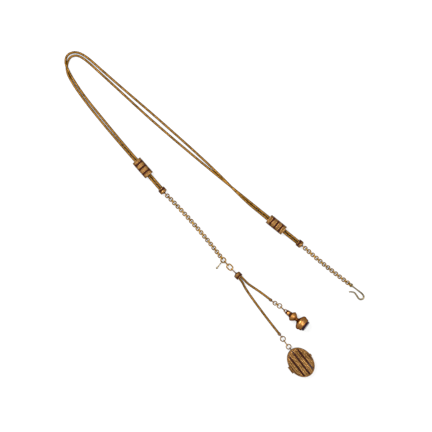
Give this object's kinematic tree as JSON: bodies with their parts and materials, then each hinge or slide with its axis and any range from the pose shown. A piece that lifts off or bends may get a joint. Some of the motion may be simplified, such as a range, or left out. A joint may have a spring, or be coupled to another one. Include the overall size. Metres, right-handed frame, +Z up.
{
  "type": "pocket watch fob chain",
  "caption": "Double-strand woven watch fob chain with two sliding keepers, rolo chains, a watch hook, a turned seal and an oval hinged locket, laid flat.",
  "frame": {"origin": "On the table under the centre of the bounding box of everything but the four woven cords; the table is z = 0.", "axes": "+Z points up from the table. +X runs to the right and +Y to the top of the picture: the strands' loop lies at -X +Y, the watch hook at +X, the locket at -Y."},
  "size_m": [0.1796, 0.195, 0.0089],
  "materials": {
    "gold": "polished gold, softly worn",
    "woven_gold": "woven gold wire",
    "chain_gold": "polished gold wire",
    "pale_gold": "pale gold wire, dull",
    "seal_gold": "polished warm gold",
    "enamel": "near-black brown glassy enamel",
    "locket_enamel": "near-black wine-coloured glassy enamel",
    "stone": "polished dark stone, opaque",
    "liner": "thin soft leather",
    "glass": "clear glass"
  },
  "bodies": {
    "strands": {"strand_over": "woven_gold", "strand_under": "woven_gold", "left_cap": "gold", "left_cap_enamel": "enamel", "right_cap": "gold", "right_cap_enamel": "enamel"},
    "left_slide": {"left_slide": "gold", "left_slide_enamel": "enamel", "left_slide_liner": "liner"},
    "right_slide": {"right_slide": "gold", "right_slide_enamel": "enamel", "right_slide_liner": "liner"},
    "left_links_1": {"left_links_1": "chain_gold"},
    "left_links_2": {"left_links_2": "chain_gold"},
    "left_links_3": {"left_links_3": "chain_gold"},
    "left_links_4": {"left_links_4": "chain_gold"},
    "left_links_5": {"left_links_5": "chain_gold"},
    "left_links_6": {"left_links_6": "chain_gold"},
    "left_links_7": {"left_links_7": "chain_gold"},
    "left_links_8": {"left_links_8": "chain_gold"},
    "left_links_9": {"left_links_9": "chain_gold"},
    "right_links_1": {"right_links_1": "chain_gold"},
    "right_links_2": {"right_links_2": "chain_gold"},
    "right_links_3": {"right_links_3": "chain_gold"},
    "right_links_4": {"right_links_4": "chain_gold"},
    "right_links_5": {"right_links_5": "chain_gold"},
    "right_links_6": {"right_links_6": "chain_gold"},
    "junction_ring": {"junction_ring": "chain_gold"},
    "drop_bar": {"drop_bar": "pale_gold"},
    "connector_link": {"connector_link": "chain_gold"},
    "oval_link": {"oval_link": "chain_gold"},
    "fob": {"fob_cap": "gold", "fob_cap_enamel": "enamel", "fob_cap_rivet": "gold", "long_fob_cord": "woven_gold", "short_fob_cord": "woven_gold", "long_cord_ferrule": "gold", "short_cord_ferrule": "gold"},
    "seal_ring_1": {"seal_ring_1": "chain_gold"},
    "seal_ring_2": {"seal_ring_2": "chain_gold"},
    "seal_ring_3": {"seal_ring_3": "chain_gold"},
    "seal_link": {"seal_link": "chain_gold"},
    "seal": {"seal_bell": "seal_gold", "seal_enamel": "enamel", "seal_foot": "seal_gold", "seal_stone": "stone"},
    "locket_ring": {"locket_ring": "chain_gold"},
    "locket_link": {"locket_link": "chain_gold"},
    "locket_bail": {"locket_bail": "chain_gold"},
    "locket": {"locket_back": "gold", "locket_frame": "gold", "locket_glass": "glass", "locket_hinge_pin": "gold"},
    "locket_cover": {"locket_cover": "gold", "locket_enamel": "locket_enamel"},
    "watch_hook": {"watch_hook": "pale_gold"}
  },
  "joints": [
    {"name": "left_slide_travel", "type": "slide", "parent": "strands", "child": "left_slide", "axis": [0.658, -0.753, 0], "range_m": [-0.005, 0.01]},
    {"name": "right_slide_travel", "type": "slide", "parent": "strands", "child": "right_slide", "axis": [0.7781, -0.6281, 0], "range_m": [-0.005, 0.01]},
    {"name": "left_links_1_bend", "type": "hinge", "parent": "strands", "child": "left_links_1", "pos_m": [-0.04866, 0.04269, 0.0022], "axis": [0, 0, 1], "range_deg": [-30, 10]},
    {"name": "left_links_2_bend", "type": "hinge", "parent": "left_links_1", "child": "left_links_2", "pos_m": [-0.04449, 0.03844, 0.00192], "axis": [0, 0, -1], "range_deg": [-10, 30]},
    {"name": "left_links_3_bend", "type": "hinge", "parent": "left_links_2", "child": "left_links_3", "pos_m": [-0.04039, 0.03412, 0.00164], "axis": [0, 0, 1], "range_deg": [-30, 10]},
    {"name": "left_links_4_bend", "type": "hinge", "parent": "left_links_3", "child": "left_links_4", "pos_m": [-0.03636, 0.02974, 0.00146], "axis": [0, 0, -1], "range_deg": [-10, 30]},
    {"name": "left_links_5_bend", "type": "hinge", "parent": "left_links_4", "child": "left_links_5", "pos_m": [-0.03239, 0.02529, 0.00146], "axis": [0, 0, 1], "range_deg": [-30, 15]},
    {"name": "left_links_6_bend", "type": "hinge", "parent": "left_links_5", "child": "left_links_6", "pos_m": [-0.0285, 0.02077, 0.00146], "axis": [0, 0, -1], "range_deg": [-15, 30]},
    {"name": "left_links_7_bend", "type": "hinge", "parent": "left_links_6", "child": "left_links_7", "pos_m": [-0.02468, 0.0162, 0.00146], "axis": [0, 0, 1], "range_deg": [-30, 20]},
    {"name": "left_links_8_bend", "type": "hinge", "parent": "left_links_7", "child": "left_links_8", "pos_m": [-0.02093, 0.01157, 0.00146], "axis": [0, 0, -1], "range_deg": [-20, 30]},
    {"name": "left_links_9_bend", "type": "hinge", "parent": "left_links_8", "child": "left_links_9", "pos_m": [-0.01725, 0.00688, 0.00146], "axis": [0, 0, 1], "range_deg": [-30, 20]},
    {"name": "right_links_1_bend", "type": "hinge", "parent": "strands", "child": "right_links_1", "pos_m": [0.0338, 0.01133, 0.0022], "axis": [0, 0, 1], "range_deg": [-30, 30]},
    {"name": "right_links_2_bend", "type": "hinge", "parent": "right_links_1", "child": "right_links_2", "pos_m": [0.03827, 0.0074, 0.00192], "axis": [0, 0, -1], "range_deg": [-30, 30]},
    {"name": "right_links_3_bend", "type": "hinge", "parent": "right_links_2", "child": "right_links_3", "pos_m": [0.04281, 0.00355, 0.00164], "axis": [0, 0, 1], "range_deg": [-30, 30]},
    {"name": "right_links_4_bend", "type": "hinge", "parent": "right_links_3", "child": "right_links_4", "pos_m": [0.04743, -0.00022, 0.00146], "axis": [0, 0, -1], "range_deg": [-30, 30]},
    {"name": "right_links_5_bend", "type": "hinge", "parent": "right_links_4", "child": "right_links_5", "pos_m": [0.05211, -0.00391, 0.00146], "axis": [0, 0, 1], "range_deg": [-30, 30]},
    {"name": "right_links_6_bend", "type": "hinge", "parent": "right_links_5", "child": "right_links_6", "pos_m": [0.05686, -0.00751, 0.00146], "axis": [0, 0, -1], "range_deg": [-30, 30]},
    {"name": "junction_ring_turn", "type": "hinge", "parent": "left_links_9", "child": "junction_ring", "pos_m": [-0.01523, 0.00424, 0.00146], "axis": [0, 0, -1], "range_deg": [-25, 30]},
    {"name": "drop_bar_lift", "type": "hinge", "parent": "junction_ring", "child": "drop_bar", "pos_m": [-0.01619, 0.00306, 0.00146], "axis": [-0.7771, 0.6293, 0], "range_deg": [0, 80]},
    {"name": "connector_link_bend", "type": "hinge", "parent": "junction_ring", "child": "connector_link", "pos_m": [-0.01523, 0.00424, 0.00146], "axis": [0, 0, 1], "range_deg": [-30, 25]},
    {"name": "oval_link_turn", "type": "hinge", "parent": "connector_link", "child": "oval_link", "pos_m": [-0.01175, 0.00051, 0.00193], "axis": [0, 0, -1], "range_deg": [-25, 30]},
    {"name": "fob_cap_bend", "type": "hinge", "parent": "oval_link", "child": "fob", "pos_m": [-0.01094, -0.00037, 0.00203], "axis": [0, 0, 1], "range_deg": [-30, 25]},
    {"name": "seal_ring_1_turn", "type": "hinge", "parent": "fob", "child": "seal_ring_1", "pos_m": [0.01572, -0.02153, 0.00149], "axis": [0, 0, 1], "range_deg": [-20, 30]},
    {"name": "seal_ring_2_bend", "type": "hinge", "parent": "seal_ring_1", "child": "seal_ring_2", "pos_m": [0.01572, -0.02153, 0.00149], "axis": [0, 0, -1], "range_deg": [-30, 20]},
    {"name": "seal_ring_3_turn", "type": "hinge", "parent": "seal_ring_2", "child": "seal_ring_3", "pos_m": [0.01845, -0.02317, 0.00149], "axis": [0, 0, 1], "range_deg": [-25, 30]},
    {"name": "seal_link_bend", "type": "hinge", "parent": "seal_ring_3", "child": "seal_link", "pos_m": [0.01845, -0.02317, 0.00149], "axis": [0, 0, -1], "range_deg": [-30, 25]},
    {"name": "seal_bend", "type": "hinge", "parent": "seal_link", "child": "seal", "pos_m": [0.02191, -0.02607, 0.00178], "axis": [0, 0, 1], "range_deg": [-30, 30]},
    {"name": "locket_ring_turn", "type": "hinge", "parent": "fob", "child": "locket_ring", "pos_m": [0.02045, -0.04291, 0.00144], "axis": [0, 0, -1], "range_deg": [-30, 30]},
    {"name": "locket_link_bend", "type": "hinge", "parent": "locket_ring", "child": "locket_link", "pos_m": [0.02045, -0.04291, 0.00144], "axis": [0, 0, 1], "range_deg": [-30, 30]},
    {"name": "locket_bail_turn", "type": "hinge", "parent": "locket_link", "child": "locket_bail", "pos_m": [0.02391, -0.04759, 0.00144], "axis": [0, 0, -1], "range_deg": [-30, 30]},
    {"name": "locket_bend", "type": "hinge", "parent": "locket_bail", "child": "locket", "pos_m": [0.02391, -0.04759, 0.00144], "axis": [0, 0, 1], "range_deg": [-30, 30]},
    {"name": "locket_cover_open", "type": "hinge", "parent": "locket", "child": "locket_cover", "pos_m": [0.02514, -0.06146, 0.0028], "axis": [0.6157, -0.788, 0], "range_deg": [0, 100]},
    {"name": "watch_hook_turn", "type": "hinge", "parent": "right_links_6", "child": "watch_hook", "pos_m": [0.06136, -0.01081, 0.00146], "axis": [0.0538, -0.0444, 0.9976], "range_deg": [-30, 30]}
  ]
}
